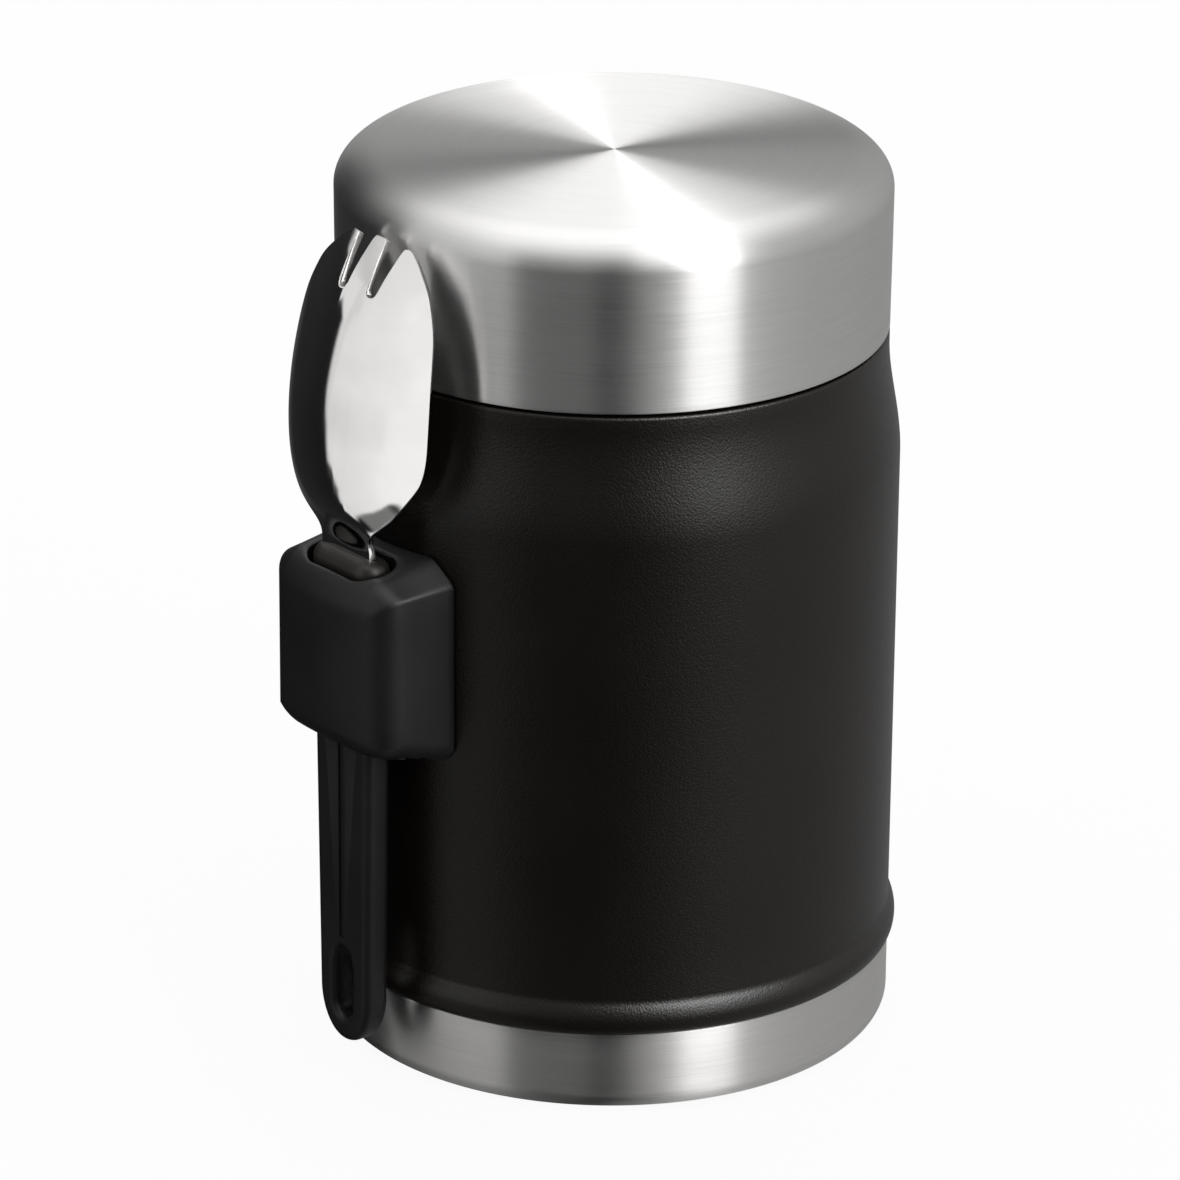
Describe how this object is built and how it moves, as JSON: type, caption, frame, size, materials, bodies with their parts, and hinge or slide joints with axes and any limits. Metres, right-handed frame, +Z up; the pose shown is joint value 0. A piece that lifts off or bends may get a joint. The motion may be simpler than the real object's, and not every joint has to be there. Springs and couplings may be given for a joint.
{
  "type": "insulated food jar",
  "caption": "Squat double-walled vacuum food jar with a screw-off steel lid, and a spork that slides out of a holder on its side.",
  "frame": {"origin": "centre of the base, on the surface the jar stands on", "axes": "+Z up along the jar's axis, -Y towards the side that carries the spork, +X to the right when facing the spork"},
  "size_m": [0.0912, 0.1037, 0.142],
  "materials": {
    "coated_steel": "black powder coat, fine grain",
    "vessel_steel": "plain drawn stainless steel",
    "foil": "bright thin foil",
    "solder": "dull solder",
    "getter_metal": "sintered pill",
    "spring_steel": "spring steel strip",
    "brushed_steel": "fine circumferential brushing",
    "lid_plastic": "black moulded polypropylene",
    "foam": "light closed-cell foam",
    "silicone": "translucent grey silicone",
    "holder_plastic": "matt black moulded plastic",
    "screw_steel": "zinc-plated screws",
    "mirror_steel": "mirror-polished stainless steel",
    "handle_plastic": "satin black moulded plastic",
    "collar_rubber": "satin dark soft plastic"
  },
  "bodies": {
    "jar": {"outer_shell": "coated_steel", "inner_vessel": "vessel_steel", "inner_bottom": "vessel_steel", "reflective_foil": "foil", "outer_bottom": "vessel_steel", "vacuum_seal": "solder", "getter": "getter_metal", "getter_clip": "spring_steel", "base_cup": "brushed_steel", "spork_holder": "holder_plastic", "holder_bracket": "vessel_steel", "holder_screws": "screw_steel"},
    "lid_seal": {"lid_gasket": "silicone"},
    "lid": {"lid_cap": "brushed_steel", "lid_liner": "lid_plastic", "lid_plug": "lid_plastic", "lid_insulation": "foam"},
    "spork": {"spork_head": "mirror_steel", "spork_handle": "handle_plastic", "spork_collar": "collar_rubber"}
  },
  "joints": [
    {"name": "lid_lift", "type": "slide", "parent": "jar", "child": "lid_seal", "axis": [0, 0, 1], "range_m": [0, 0.03]},
    {"name": "lid_turn", "type": "hinge", "parent": "lid_seal", "child": "lid", "pos_m": [0, 0, 0.13], "axis": [0, 0, 1], "range_deg": [0, 2161]},
    {"name": "spork_lift", "type": "slide", "parent": "jar", "child": "spork", "axis": [0, 0, 1], "range_m": [0, 0.09]}
  ],
  "couplings": [
    {"joint": "lid_turn", "follows": "lid_lift", "rad_per_m": 1256.6}
  ]
}
